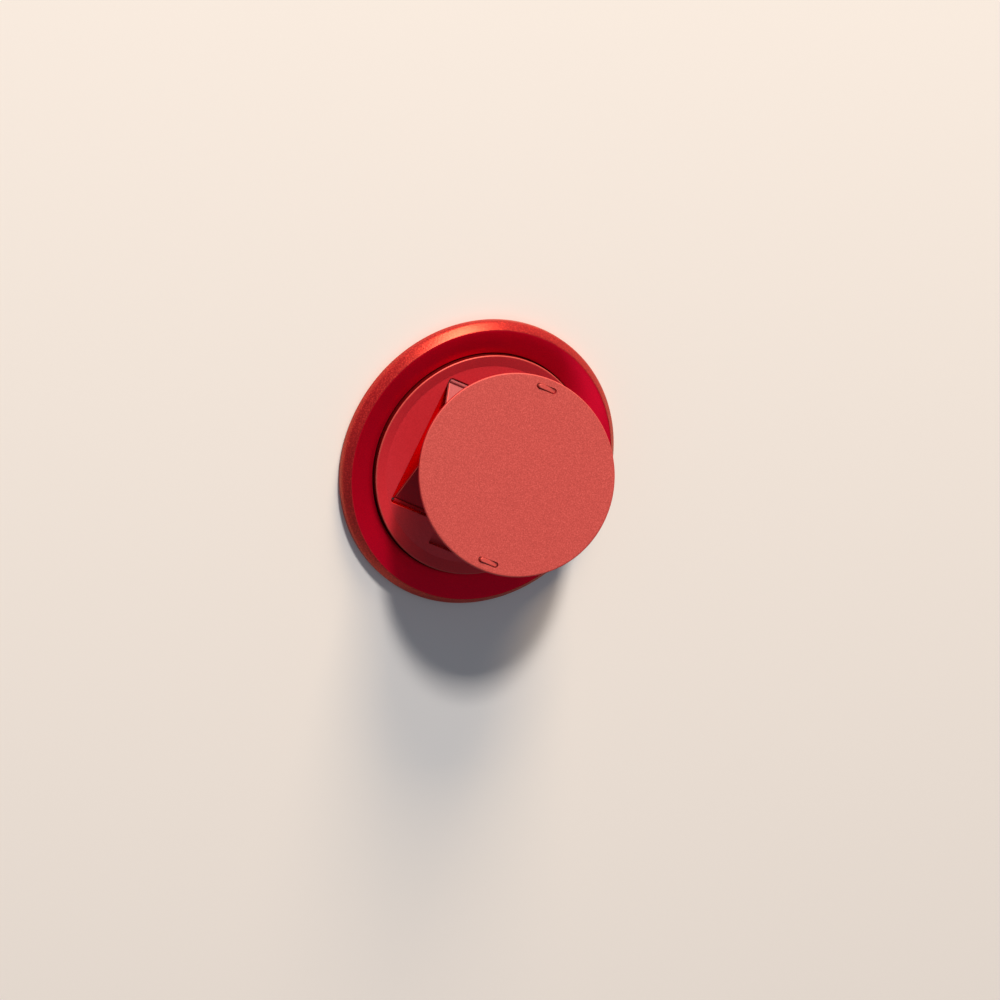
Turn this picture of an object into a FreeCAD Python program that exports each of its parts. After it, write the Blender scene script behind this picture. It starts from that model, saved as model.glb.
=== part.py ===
# A folding magnetic grip: a magnet ring with a swivelling plate, two crossed legs and a round disc.
# Millimetres. The origin is the centre of the flat back face and +Z points away from it.
# +Y points to the end of the plate where leg 1 is hinged. The grip stands open, as it is held.
import FreeCAD, Part
import math
import os
import types

import Sketcher

# Driving dimensions: alias, value, what it is.
DIMENSIONS = [
    ("plate_radius", 22.1, "radius of the swivel plate"),
    ("ring_width", 6.45, "width of the base ring round the swivel plate"),
    ("ring_foot", 0.15, "height of the ring's lower edge above the back face"),
    ("foot_chamfer", 0.3, "chamfer round the ring's lower edge"),
    ("wall_top", 1.7, "height of the ring's upright outer wall"),
    ("shoulder_width", 1.4, "width of the bevelled shoulder outside the crest"),
    ("crest_height", 3.3, "height of the crest"),
    ("shoulder_ease", 0.4, "how far the rounded corner between wall and shoulder reaches down"),
    ("shoulder_ease_share", 0.16, "share of the shoulder that this rounded corner takes"),
    ("crest_ease_share", 0.06, "share of the shoulder and the dish that the crest's bevel takes"),
    ("dish_gap", 0.25, "gap between the dished inside and the swivel plate"),
    ("dish_height", 2.05, "height of the dish at its inner edge"),
    ("lip_thickness", 0.63, "thickness of the lip that holds the swivel plate"),
    ("magnet_inner_wall", 0.4, "wall between the magnets and the swivel plate's flange"),
    ("magnet_outer_wall", 1.6, "wall outside the magnets"),
    ("magnet_thickness", 0.9, "thickness of the magnets"),
    ("magnet_count", 16, "number of magnets round the ring"),
    ("magnet_gap_angle", 2.0, "angle left free between two magnets"),
    ("shunt_thickness", 0.25, "thickness of the steel ring over the magnets"),
    ("seat_clearance", 0.1, "room round and over seated pieces"),
    ("pad_thickness", 0.25, "thickness of the soft pad"),
    ("pad_inset", 0.2, "step between the back plate's edge and the pad's"),
    ("back_thickness", 0.35, "thickness of the back plate"),
    ("foot_width", 1.1, "width of the ring's lower edge round the back plate"),
    ("slip_thickness", 0.1, "thickness of both slip rings"),
    ("slip_width", 3.4, "width of the lower slip ring"),
    ("running_clearance", 0.02, "gap between faces that turn or slide on each other"),
    ("flange_width", 0.9, "how far the plate's flange reaches under the lip"),
    ("flange_clearance", 0.2, "room round the flange"),
    ("rim_height", 0.5, "height of the plate's rim above its floor"),
    ("rim_chamfer", 0.13, "chamfer on the rim's outer edge"),
    ("rim_land", 0.12, "flat on top of the rim"),
    ("band_width", 2.3, "width of the plate's rim and sloping band"),
    ("pocket_bottom", 0.25, "thickness of the plate under the pocket"),
    ("pocket_corner", 0.7, "rounding of the pocket's corners"),
    ("hinge_span", 12.7, "distance of each leg's hinge from the middle"),
    ("leg_1_half_width", 14.1, "half of leg 1's width"),
    ("leg_2_half_width", 13.4, "half of leg 2's width"),
    ("leg_side_clearance", 0.3, "room beside leg 1 in the pocket"),
    ("rail_side_clearance", 0.6, "room beside the rail in its channel"),
    ("leg_thickness", 0.5, "thickness of the legs' sheet"),
    ("leg_set", 0.02, "height of a leg's underside above its barrels' lowest line"),
    ("leg_chamfer", 0.1, "chamfer on the legs' upper edges"),
    ("leg_lift", 0.2, "room under leg 2 in the folded grip"),
    ("leg_layer_gap", 0.1, "room between the two folded legs"),
    ("barrel_radius", 0.42, "radius of the barrels rolled at the legs' ends"),
    ("barrel_end_clearance", 0.2, "room between a hinge barrel and the pocket's end"),
    ("pin_radius", 0.25, "radius of all pins"),
    ("pin_inset", 0.84, "how far the hinge pins stop short of the plate's edge"),
    ("window_half_width", 3.2, "half of the opening between a leg's two hinge barrels"),
    ("leg_1_length", 29.6, "leg 1 from its hinge to its slider pin"),
    ("leg_1_window", 13.2, "length of the opening in leg 1"),
    ("leg_1_shoulder", 16.7, "where leg 1 starts to narrow"),
    ("leg_1_neck", 5.6, "length of leg 1's narrow neck"),
    ("leg_2_length", 28.4, "leg 2 from its hinge to its slider pin"),
    ("leg_2_notch", 1.2, "depth of the notch between leg 2's hinge barrels"),
    ("leg_2_shoulder", 12.2, "where leg 2 starts to narrow"),
    ("leg_2_tongue_start", 14.9, "where leg 2's tongue starts"),
    ("leg_2_neck", 4.8, "length of leg 2's narrow neck"),
    ("tongue_clearance", 0.4, "room beside leg 2's tongue in leg 1's opening"),
    ("tip_half_width", 1.6, "half of the legs' width at the slider pins"),
    ("tip_clearance", 0.15, "room beside the legs' tips in the rail"),
    ("tip_top_clearance", 0.1, "room above the tips' barrels in the rail"),
    ("rail_wall", 0.55, "thickness of the rail's side cheeks"),
    ("rail_roof", 0.73, "height of the rail's roof at its ridge"),
    ("roof_slope", 16.5, "slope of the roof, which leaves room for the disc to rock"),
    ("ridge_half_width", 0.15, "half of the flat along the roof's ridge"),
    ("rail_lip", 0.17, "rail left below the slider slots"),
    ("rail_end_wall", 0.35, "rail left beyond the slider slots"),
    ("slider_play", 0.4, "room over slider pin 2, where the linkage is opened"),
    ("slider_travel_over", 0.5, "how far slider pin 2 runs outward before it turns back"),
    ("tab_inset", 1.9, "distance of the rail's tabs from the disc's edge"),
    ("tab_half_length", 1.85, "half of the tabs' length across the rail"),
    ("tab_half_width", 0.43, "half of the tabs' width along the rail"),
    ("tab_height", 0.6, "height of the tabs above the rail's ridge"),
    ("tab_bevel", 0.1, "bevel round the tabs' tops"),
    ("slot_end_clearance", 0.2, "room at each end of a tab in its slot"),
    ("slot_side_clearance", 0.12, "room along each side of a tab in its slot"),
    ("disc_radius", 19.4, "radius of the disc"),
    ("disc_thickness", 1.3, "thickness of the disc"),
    ("disc_web", 0.5, "thickness left over the groove under the disc"),
    ("disc_edge_chamfer", 0.15, "chamfer round the disc's face"),
    ("disc_under_bevel", 0.8, "width of the bevel under the disc's edge"),
    ("disc_under_height", 0.45, "height of the bevel under the disc's edge"),
    ("groove_clearance", 0.45, "room beside the rail in the disc's groove"),
    ("ridge_clearance", 0.07, "gap between the rail's ridge and the disc"),
    ("disc_floor_gap", 0.05, "gap between the folded disc and the plate's floor"),
    ("rock_pin_reach", 0.75, "how far the rock pins reach into the disc"),
    ("leg_1_rise", 35.4, "slope of leg 1 in the open grip, in degrees"),
    ("rail_tilt", 15.4, "tilt of the rail in the open grip, in degrees"),
    ("disc_rock", 14.3, "sideways rock of the disc in the open grip, in degrees"),
    ("slider_1_open", 14.3, "slider pin 1 from the rail's middle in the open grip"),
]

document = FreeCAD.newDocument("magnetic_grip")
sheet = document.addObject("Spreadsheet::Sheet", "sizes")
for row, (alias, value, meaning) in enumerate(DIMENSIONS, start=1):
    sheet.set(f"A{row}", meaning)
    sheet.set(f"B{row}", str(value))
    sheet.setAlias(f"B{row}", alias)
document.recompute()


class Size:
    """A size of the sheet, or a sum of sizes: its value, and the expression that drives it."""

    def __init__(self, value, text):
        self.value = value
        self.text = text

    def __add__(self, other):
        return Size(self.value + as_size(other).value, f"({self.text} + {as_size(other).text})")

    def __sub__(self, other):
        return Size(self.value - as_size(other).value, f"({self.text} - {as_size(other).text})")

    def __mul__(self, other):
        return Size(self.value * as_size(other).value, f"({self.text} * {as_size(other).text})")

    def __truediv__(self, other):
        return Size(self.value / as_size(other).value, f"({self.text} / {as_size(other).text})")

    def __neg__(self):
        return Size(-self.value, f"(-1 * {self.text})")


def as_size(number):
    """A plain number as a Size, a Size as it is."""
    if isinstance(number, Size):
        return number
    return Size(number, f"({number})")


# The sheet's sizes, by alias.
d = types.SimpleNamespace()
for alias, value, meaning in DIMENSIONS:
    setattr(d, alias, Size(float(sheet.get(alias)), f"sizes.{alias}"))


def tangent(angle):
    """Tangent of an angle of the sheet that is held in degrees."""
    return Size(math.tan(math.radians(angle.value)), f"tan({angle.text} * 1 deg)")


def half_chord(radius, distance):
    """Half of the width of a circle at a distance from its centre."""
    value = math.sqrt(radius.value ** 2 - distance.value ** 2)
    return Size(value, f"sqrt({radius.text} ^ 2 - {distance.text} ^ 2)")


def new_body(label):
    """An empty body that carries its node's name."""
    body = document.addObject("PartDesign::Body", label)
    body.Label = label
    return body


def origin_feature(body, role):
    """A plane or axis of a body's own origin."""
    return next(feature for feature in body.Origin.OriginFeatures if feature.Role == role)


def new_sketch(body, name, role, offset=None):
    """A sketch on one of the body's origin planes, raised from it by an offset."""
    sketch = body.newObject("Sketcher::SketchObject", f"{body.Name}_{name}")
    sketch.AttachmentSupport = [(origin_feature(body, role), "")]
    sketch.MapMode = "FlatFace"
    if offset is not None:
        sketch.setExpression("AttachmentOffset.Base.z", offset.text)
    return sketch


def drive(sketch, constraint, size):
    """Adds a dimension to a sketch and binds it to a size."""
    index = sketch.addConstraint(constraint)
    sketch.setExpression(f"Constraints[{index}]", size.text)


def hold_point(sketch, geometry, point, x, y):
    """Holds a point of a sketch at driven coordinates, on an axis where one is zero."""
    horizontal_axis, vertical_axis = -1, -2
    for kind, axis, size in (("DistanceX", vertical_axis, x), ("DistanceY", horizontal_axis, y)):
        if as_size(size).value == 0:
            sketch.addConstraint(Sketcher.Constraint("PointOnObject", geometry, point, axis))
        else:
            drive(sketch, Sketcher.Constraint(kind, -1, 1, geometry, point, size.value), size)


def draw_outline(sketch, corners):
    """A closed outline of straight lines through driven corners."""
    first = sketch.GeometryCount
    points = [FreeCAD.Vector(as_size(x).value, as_size(y).value, 0) for x, y in corners]
    count = len(points)
    for i in range(count):
        sketch.addGeometry(Part.LineSegment(points[i], points[(i + 1) % count]), False)
    for i in range(count):
        sketch.addConstraint(Sketcher.Constraint("Coincident", first + i, 2, first + (i + 1) % count, 1))
    for i, (x, y) in enumerate(corners):
        hold_point(sketch, first + i, 1, x, y)


def draw_circle(sketch, x, y, radius):
    """A circle at a driven place."""
    centre = FreeCAD.Vector(as_size(x).value, as_size(y).value, 0)
    index = sketch.addGeometry(Part.Circle(centre, FreeCAD.Vector(0, 0, 1), radius.value), False)
    drive(sketch, Sketcher.Constraint("Radius", index, radius.value), radius)
    hold_point(sketch, index, 3, x, y)


def draw_pill(sketch, x, y, half_length, half_width):
    """A slot outline with round ends, long in the sketch's X."""
    reach = half_length - half_width
    cx, cy = as_size(x).value, as_size(y).value
    radius, half = half_width.value, reach.value
    up = FreeCAD.Vector(0, 0, 1)
    right_centre = FreeCAD.Vector(cx + half, cy, 0)
    left_centre = FreeCAD.Vector(cx - half, cy, 0)
    rise = FreeCAD.Vector(0, radius, 0)
    top = sketch.addGeometry(Part.LineSegment(left_centre + rise, right_centre + rise), False)
    right = sketch.addGeometry(
        Part.ArcOfCircle(Part.Circle(right_centre, up, radius), -math.pi / 2, math.pi / 2), False)
    bottom = sketch.addGeometry(Part.LineSegment(right_centre - rise, left_centre - rise), False)
    left = sketch.addGeometry(
        Part.ArcOfCircle(Part.Circle(left_centre, up, radius), math.pi / 2, 3 * math.pi / 2), False)
    sketch.addConstraint(Sketcher.Constraint("Tangent", top, 2, right, 2))
    sketch.addConstraint(Sketcher.Constraint("Tangent", right, 1, bottom, 1))
    sketch.addConstraint(Sketcher.Constraint("Tangent", bottom, 2, left, 2))
    sketch.addConstraint(Sketcher.Constraint("Tangent", left, 1, top, 1))
    drive(sketch, Sketcher.Constraint("Radius", right, radius), half_width)
    sketch.addConstraint(Sketcher.Constraint("Equal", right, left))
    hold_point(sketch, right, 3, as_size(x) + reach, y)
    hold_point(sketch, left, 3, as_size(x) - reach, y)


def mirrored(half):
    """A whole outline from its right half, listed from one end of the middle line to the other."""
    return half + [(-x, y) for x, y in reversed(half)]


def add_feature(body, kind, name, profile):
    """A sketch-based feature of a body."""
    feature = body.newObject(f"PartDesign::{kind}", f"{body.Name}_{name}")
    feature.Profile = profile
    return feature


def turn(body, sketch, angle=360):
    """Turns a profile about the body's own Z axis."""
    feature = add_feature(body, "Revolution", "turned", sketch)
    feature.ReferenceAxis = (origin_feature(body, "Z_Axis"), [""])
    if isinstance(angle, Size):
        feature.setExpression("Angle", angle.text)
    else:
        feature.Angle = angle
    document.recompute()
    return feature


def pad(body, name, sketch, length, symmetric=False):
    """Raises a profile along its sketch's normal, or half to each side."""
    feature = add_feature(body, "Pad", name, sketch)
    feature.setExpression("Length", length.text)
    if symmetric:
        feature.SideType = "Symmetric"
    document.recompute()
    return feature


def pocket(body, name, sketch, length, symmetric=False, reverse=False):
    """Cuts a profile into the body, against its sketch's normal unless reversed."""
    before = body.Shape.Volume
    feature = add_feature(body, "Pocket", name, sketch)
    feature.setExpression("Length", length.text)
    feature.Reversed = reverse
    if symmetric:
        feature.SideType = "Symmetric"
    document.recompute()
    if feature.Shape.Volume >= before:
        raise RuntimeError(f"{feature.Name} cuts nothing")
    return feature


def dress(body, kind, name, chosen, size):
    """Fillets or chamfers the edges of a body that a test chooses."""
    base = body.Tip
    names = [f"Edge{i}" for i, edge in enumerate(base.Shape.Edges, start=1) if chosen(edge)]
    if not names:
        raise RuntimeError(f"{body.Name}_{name} finds no edge")
    feature = body.newObject(f"PartDesign::{kind}", f"{body.Name}_{name}")
    feature.Base = (base, names)
    feature.setExpression("Radius" if kind == "Fillet" else "Size", size.text)
    document.recompute()
    return feature


def near(value, target):
    """Whether a measured length is the target."""
    tolerance = 1e-4
    return abs(value - target) < tolerance


def between(start, end, share):
    """The point at a share of the way from one driven point to another."""
    return tuple(a + (as_size(b) - a) * share for a, b in zip(start, end))


def washer(label, inner, outer, bottom, thickness):
    """A flat ring."""
    body = new_body(label)
    section = new_sketch(body, "section", "XZ_Plane")
    top = bottom + thickness
    draw_outline(section, [(inner, bottom), (outer, bottom), (outer, top), (inner, top)])
    turn(body, section)
    return body


def pin_group(label, pins):
    """Straight pins along X or Y as one node: each pin is its start, its length and its direction."""
    cylinders = []
    for number, (start, length, direction) in enumerate(pins, start=1):
        cylinder = document.addObject("Part::Cylinder", f"{label}_{number}")
        cylinder.setExpression("Radius", d.pin_radius.text)
        cylinder.setExpression("Height", length.text)
        turned = FreeCAD.Rotation(FreeCAD.Vector(0, 0, 1), direction)
        cylinder.Placement = FreeCAD.Placement(FreeCAD.Vector(0, 0, 0), turned)
        for axis, size in zip("xyz", start):
            cylinder.setExpression(f"Placement.Base.{axis}", as_size(size).text)
        cylinders.append(cylinder)
    group = document.addObject("Part::Compound", label)
    group.Label = label
    group.Links = cylinders
    document.recompute()
    return group


# Radii of the ring, worked out from the swivel plate outwards.
flange_radius = d.plate_radius + d.flange_width
cavity_radius = flange_radius + d.flange_clearance
dish_radius = d.plate_radius + d.dish_gap
base_radius = d.plate_radius + d.ring_width
shoulder_radius = base_radius - d.shoulder_width
channel_inner = cavity_radius + d.magnet_inner_wall
channel_outer = base_radius - d.magnet_outer_wall
magnet_inner_radius = channel_inner + d.seat_clearance
magnet_outer_radius = channel_outer - d.seat_clearance
rebate_radius = base_radius - d.foot_width
back_radius = rebate_radius - d.seat_clearance
floor_radius = d.plate_radius - d.band_width
tab_distance = d.disc_radius - d.tab_inset

# Heights of the stack behind the plate, from the back face up.
back_top = d.pad_thickness + d.back_thickness
plate_bottom = back_top + d.slip_thickness + d.running_clearance
pocket_floor = plate_bottom + d.pocket_bottom
lip_bottom = d.dish_height - d.lip_thickness
flange_top = lip_bottom - d.slip_thickness - d.running_clearance * 2

# Heights of the folded legs above the pocket's floor: leg 2 lies below leg 1, and each barrel
# stands on the plane of its leg's underside.
hinge_2_height = pocket_floor + d.leg_lift + d.barrel_radius
hinge_1_height = hinge_2_height + d.leg_thickness + d.leg_layer_gap
plate_bore = d.pin_radius + d.running_clearance

# The rail's own frame has its origin on the rocking axis, at the ridge of its roof.
roof_under = -d.rail_roof
slider_1_level = roof_under - d.tip_top_clearance - d.barrel_radius
slider_2_level = slider_1_level - (d.leg_thickness + d.leg_layer_gap)
rail_half_width = d.tip_half_width + d.tip_clearance + d.rail_wall
ridge_height = hinge_1_height - slider_1_level
disc_top = d.ridge_clearance + d.disc_web
disc_bottom = disc_top - d.disc_thickness
plate_floor = ridge_height + disc_bottom - d.disc_floor_gap
rim_top = plate_floor + d.rim_height

# Base ring: one turned profile, from the rebate of the back plate round the outside to the magnet channel.
magnet_floor = back_top
channel_top = magnet_floor + d.magnet_thickness + d.shunt_thickness + d.seat_clearance
wall_corner = (base_radius, d.wall_top)
crest = (shoulder_radius, d.crest_height)
dish_edge = (dish_radius, d.dish_height)
ease_low = (base_radius, d.wall_top - d.shoulder_ease)
ease_high = between(wall_corner, crest, d.shoulder_ease_share)
ease_middle = between(between(ease_low, ease_high, 0.5), wall_corner, 0.5)
base_ring = new_body("base_ring")
ring_section = new_sketch(base_ring, "section", "XZ_Plane")
draw_outline(ring_section, [
    (rebate_radius, d.ring_foot),
    (base_radius - d.foot_chamfer, d.ring_foot),
    (base_radius, d.ring_foot + d.foot_chamfer),
    ease_low,
    ease_middle,
    ease_high,
    between(crest, wall_corner, d.crest_ease_share),
    between(crest, dish_edge, d.crest_ease_share),
    dish_edge,
    (dish_radius, lip_bottom),
    (cavity_radius, lip_bottom),
    (cavity_radius, back_top),
    (channel_inner, back_top),
    (channel_inner, channel_top),
    (channel_outer, channel_top),
    (channel_outer, back_top),
    (rebate_radius, back_top),
])
turn(base_ring, ring_section)

# Back plate and soft pad close the ring from behind.
back_plate = new_body("back_plate")
back_outline = new_sketch(back_plate, "outline", "XY_Plane", d.pad_thickness)
draw_circle(back_outline, 0, 0, back_radius)
pad(back_plate, "sheet", back_outline, d.back_thickness)

back_pad = new_body("back_pad")
pad_outline = new_sketch(back_pad, "outline", "XY_Plane")
draw_circle(pad_outline, 0, 0, back_radius - d.pad_inset)
pad(back_pad, "sheet", pad_outline, d.pad_thickness)

# Magnets: one arc, repeated round the ring.
ring_magnets = new_body("ring_magnets")
ring_magnets.AllowCompound = True
magnet_section = new_sketch(ring_magnets, "section", "XZ_Plane")
magnet_top = magnet_floor + d.magnet_thickness
draw_outline(magnet_section, [
    (magnet_inner_radius, magnet_floor),
    (magnet_outer_radius, magnet_floor),
    (magnet_outer_radius, magnet_top),
    (magnet_inner_radius, magnet_top),
])
one_magnet = turn(ring_magnets, magnet_section, as_size(360) / d.magnet_count - d.magnet_gap_angle)
magnet_pattern = ring_magnets.newObject("PartDesign::PolarPattern", "ring_magnets_pattern")
magnet_pattern.Originals = [one_magnet]
magnet_pattern.Axis = (origin_feature(ring_magnets, "Z_Axis"), [""])
magnet_pattern.Angle = 360
magnet_pattern.setExpression("Occurrences", d.magnet_count.text)
ring_magnets.Tip = magnet_pattern
document.recompute()

shunt_ring = washer("shunt_ring", magnet_inner_radius, magnet_outer_radius, magnet_top, d.shunt_thickness)

# Slip rings below and above the swivel plate's flange.
lower_slip_ring = washer(
    "lower_slip_ring", flange_radius - d.slip_width, flange_radius, back_top, d.slip_thickness)
upper_slip_ring = washer(
    "upper_slip_ring", dish_radius, flange_radius, flange_top + d.running_clearance, d.slip_thickness)

# Swivel plate: turned, then the pocket for the legs and the channel for the rail are cut into its floor.
pocket_half_width = d.leg_1_half_width + d.leg_side_clearance
pocket_half_length = d.hinge_span + d.barrel_radius + d.barrel_end_clearance
channel_half_width = rail_half_width + d.rail_side_clearance
channel_half_length = tab_distance + d.tab_half_width
swivel_plate = new_body("swivel_plate")
plate_section = new_sketch(swivel_plate, "section", "XZ_Plane")
draw_outline(plate_section, [
    (0, plate_bottom),
    (flange_radius, plate_bottom),
    (flange_radius, flange_top),
    (d.plate_radius, flange_top),
    (d.plate_radius, rim_top - d.rim_chamfer),
    (d.plate_radius - d.rim_chamfer, rim_top),
    (d.plate_radius - d.rim_chamfer - d.rim_land, rim_top),
    (floor_radius, plate_floor),
    (0, plate_floor),
])
turn(swivel_plate, plate_section)
pocket_outline = new_sketch(swivel_plate, "pocket_outline", "XY_Plane", rim_top)
draw_outline(pocket_outline, mirrored([
    (channel_half_width, -channel_half_length),
    (channel_half_width, -pocket_half_length),
    (pocket_half_width, -pocket_half_length),
    (pocket_half_width, pocket_half_length),
    (channel_half_width, pocket_half_length),
    (channel_half_width, channel_half_length),
]))
pocket(swivel_plate, "pocket", pocket_outline, rim_top - pocket_floor)


def pocket_corner_edge(edge):
    """The upright edges at the pocket's four outer corners."""
    middle = edge.CenterOfMass
    return near(abs(middle.x), pocket_half_width.value) and near(abs(middle.y), pocket_half_length.value)


dress(swivel_plate, "Fillet", "corners", pocket_corner_edge, d.pocket_corner)
bore_outline = new_sketch(swivel_plate, "hinge_bores", "YZ_Plane")
draw_circle(bore_outline, d.hinge_span, hinge_1_height, plate_bore)
draw_circle(bore_outline, -d.hinge_span, hinge_2_height, plate_bore)
pocket(swivel_plate, "hinge_bores", bore_outline, flange_radius * 2, symmetric=True)

# Hinge pins: two short ones for each leg, put in from the plate's edge.
pin_start = d.window_half_width + d.tip_clearance
pin_length = half_chord(d.plate_radius, d.hinge_span) - d.pin_inset - pin_start
ALONG_X = FreeCAD.Vector(1, 0, 0)
ALONG_Y = FreeCAD.Vector(0, 1, 0)
leg_1_hinge_pins = pin_group("leg_1_hinge_pins", [
    ((pin_start, d.hinge_span, hinge_1_height), pin_length, ALONG_X),
    ((-pin_start, d.hinge_span, hinge_1_height), pin_length, -ALONG_X),
])
leg_2_hinge_pins = pin_group("leg_2_hinge_pins", [
    ((pin_start, -d.hinge_span, hinge_2_height), pin_length, ALONG_X),
    ((-pin_start, -d.hinge_span, hinge_2_height), pin_length, -ALONG_X),
])


def leg_body(label, half_outline, half_width, length):
    """A sheet leg with rolled barrels: hinge axis on its own X axis, tip along its own Y."""
    body = new_body(label)
    underside = d.leg_set - d.barrel_radius
    top = underside + d.leg_thickness
    outline = new_sketch(body, "outline", "XY_Plane", underside)
    draw_outline(outline, mirrored(half_outline))
    pad(body, "sheet", outline, d.leg_thickness)

    def upper_side_edge(edge):
        box = edge.BoundBox
        at_hinge = near(box.YMin, 0) and near(box.YMax, 0)
        at_tip = near(box.YMin, length.value) and near(box.YMax, length.value)
        return near(box.ZMin, top.value) and near(box.ZMax, top.value) and not at_hinge and not at_tip

    dress(body, "Chamfer", "edges", upper_side_edge, d.leg_chamfer)
    barrel_length = half_width - d.window_half_width
    for side, start in (("right", d.window_half_width), ("left", -half_width)):
        barrel = new_sketch(body, f"{side}_barrel", "YZ_Plane", start)
        draw_circle(barrel, 0, 0, d.barrel_radius)
        pad(body, f"{side}_barrel", barrel, barrel_length)
    tip = new_sketch(body, "tip_barrel", "YZ_Plane")
    draw_circle(tip, length, 0, d.barrel_radius)
    pad(body, "tip_barrel", tip, d.tip_half_width * 2, symmetric=True)
    bores = new_sketch(body, "bores", "YZ_Plane")
    draw_circle(bores, 0, 0, plate_bore)
    draw_circle(bores, length, 0, plate_bore)
    pocket(body, "bores", bores, half_width * 3, symmetric=True)
    return body


# Legs: leg 1 is open between its barrels so that leg 2's tongue can pass through it.
tongue_half_width = d.window_half_width - d.tongue_clearance
leg_1 = leg_body("leg_1", [
    (d.window_half_width, d.leg_1_window),
    (d.window_half_width, 0),
    (d.leg_1_half_width, 0),
    (d.leg_1_half_width, d.leg_1_shoulder),
    (d.tip_half_width, d.leg_1_length - d.leg_1_neck),
    (d.tip_half_width, d.leg_1_length),
], d.leg_1_half_width, d.leg_1_length)
neck_2_start = d.leg_2_length - d.leg_2_neck
leg_2 = leg_body("leg_2", [
    (d.window_half_width, d.leg_2_notch),
    (d.window_half_width, 0),
    (d.leg_2_half_width, 0),
    (d.leg_2_half_width, d.leg_2_shoulder),
    (tongue_half_width, d.leg_2_tongue_start),
    (tongue_half_width, neck_2_start - tongue_half_width + d.tip_half_width),
    (d.tip_half_width, neck_2_start),
    (d.tip_half_width, d.leg_2_length),
], d.leg_2_half_width, d.leg_2_length)

# Where the open grip stands: leg 1 carries slider pin 1, the rail hangs on it at its tilt, and leg 2
# rises until its pin lies in the rail.
rise_1 = math.radians(d.leg_1_rise.value)
tilt = math.radians(d.rail_tilt.value)
along_rail = FreeCAD.Vector(0, math.cos(tilt), -math.sin(tilt))
above_rail = FreeCAD.Vector(0, math.sin(tilt), math.cos(tilt))
hinge_1 = FreeCAD.Vector(0, d.hinge_span.value, hinge_1_height.value)
hinge_2 = FreeCAD.Vector(0, -d.hinge_span.value, hinge_2_height.value)
slider_1 = hinge_1 + FreeCAD.Vector(0, -math.cos(rise_1), math.sin(rise_1)) * d.leg_1_length.value
rail_origin = slider_1 + along_rail * d.slider_1_open.value - above_rail * slider_1_level.value
hinge_2_depth = slider_2_level.value - above_rail.dot(hinge_2 - rail_origin)
rise_2 = math.asin(hinge_2_depth / d.leg_2_length.value) - tilt
slider_2 = hinge_2 + FreeCAD.Vector(0, math.cos(rise_2), math.sin(rise_2)) * d.leg_2_length.value
slider_2_open = along_rail.dot(slider_2 - rail_origin)
print(f"leg 2 rises {math.degrees(rise_2):.3f} degrees")
print(f"slider pins at {slider_1} and {slider_2}, rail at {rail_origin}")

# Slider slots along the rail: pin 1 runs outward from its open place to its folded one, and pin 2 is
# held loosely between its open place and a little past its folded one.
slider_1_folded = d.leg_1_length - d.hinge_span
slider_2_folded = d.leg_2_length - d.hinge_span
slot_1_middle = -(slider_1_folded + d.slider_1_open) / 2
slot_1_half_length = (slider_1_folded - d.slider_1_open) / 2 + plate_bore
slot_2_inner = as_size(round(slider_2_open, 4)) - plate_bore
slot_2_outer = slider_2_folded + d.slider_travel_over + plate_bore
slot_2_bottom = slider_2_level - plate_bore
slot_2_top = slider_2_level + d.slider_play + d.pin_radius

# Carrier rail: a roof with side cheeks at both ends, where the slider pins run, and a tab at each end.
cheek_1_bottom = slider_1_level - plate_bore - d.rail_lip
cheek_2_bottom = slot_2_bottom - d.rail_lip
rail_half_length = tab_distance + d.tab_half_width
roof_edge = -(rail_half_width - d.ridge_half_width) * tangent(d.roof_slope)
carrier_rail = new_body("carrier_rail")
roof_section = new_sketch(carrier_rail, "roof", "XZ_Plane")
draw_outline(roof_section, mirrored([
    (d.ridge_half_width, 0),
    (rail_half_width, roof_edge),
    (rail_half_width, roof_under),
]))
pad(carrier_rail, "roof", roof_section, rail_half_length * 2, symmetric=True)
cheek_1_inner = slot_1_middle + slot_1_half_length + d.rail_end_wall
cheek_1_outer = slot_1_middle - slot_1_half_length - d.rail_end_wall
cheek_2_inner = slot_2_inner - d.rail_end_wall
cheek_2_outer = slot_2_outer + d.rail_end_wall
for side, start in (("right", rail_half_width - d.rail_wall), ("left", -rail_half_width)):
    cheeks = new_sketch(carrier_rail, f"{side}_cheeks", "YZ_Plane", start)
    draw_outline(cheeks, [
        (cheek_1_outer, roof_under),
        (cheek_1_outer, cheek_1_bottom),
        (cheek_1_inner, cheek_1_bottom),
        (cheek_1_inner, roof_under),
    ])
    draw_outline(cheeks, [
        (cheek_2_inner, roof_under),
        (cheek_2_inner, cheek_2_bottom),
        (cheek_2_outer, cheek_2_bottom),
        (cheek_2_outer, roof_under),
    ])
    pad(carrier_rail, f"{side}_cheeks", cheeks, d.rail_wall)
slider_slots = new_sketch(carrier_rail, "slider_slots", "YZ_Plane")
draw_pill(slider_slots, slot_1_middle, slider_1_level, slot_1_half_length, plate_bore)
draw_outline(slider_slots, [
    (slot_2_inner, slot_2_bottom),
    (slot_2_outer, slot_2_bottom),
    (slot_2_outer, slot_2_top),
    (slot_2_inner, slot_2_top),
])
pocket(carrier_rail, "slider_slots", slider_slots, rail_half_width * 3, symmetric=True)
tabs = new_sketch(carrier_rail, "tabs", "XY_Plane", roof_under)
for end in (tab_distance, -tab_distance):
    draw_pill(tabs, 0, end, d.tab_half_length, d.tab_half_width)
pad(carrier_rail, "tabs", tabs, d.rail_roof + d.tab_height)


def tab_top_edge(edge):
    """The edges round the tops of the tabs."""
    box = edge.BoundBox
    return near(box.ZMin, d.tab_height.value) and near(box.ZMax, d.tab_height.value)


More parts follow.
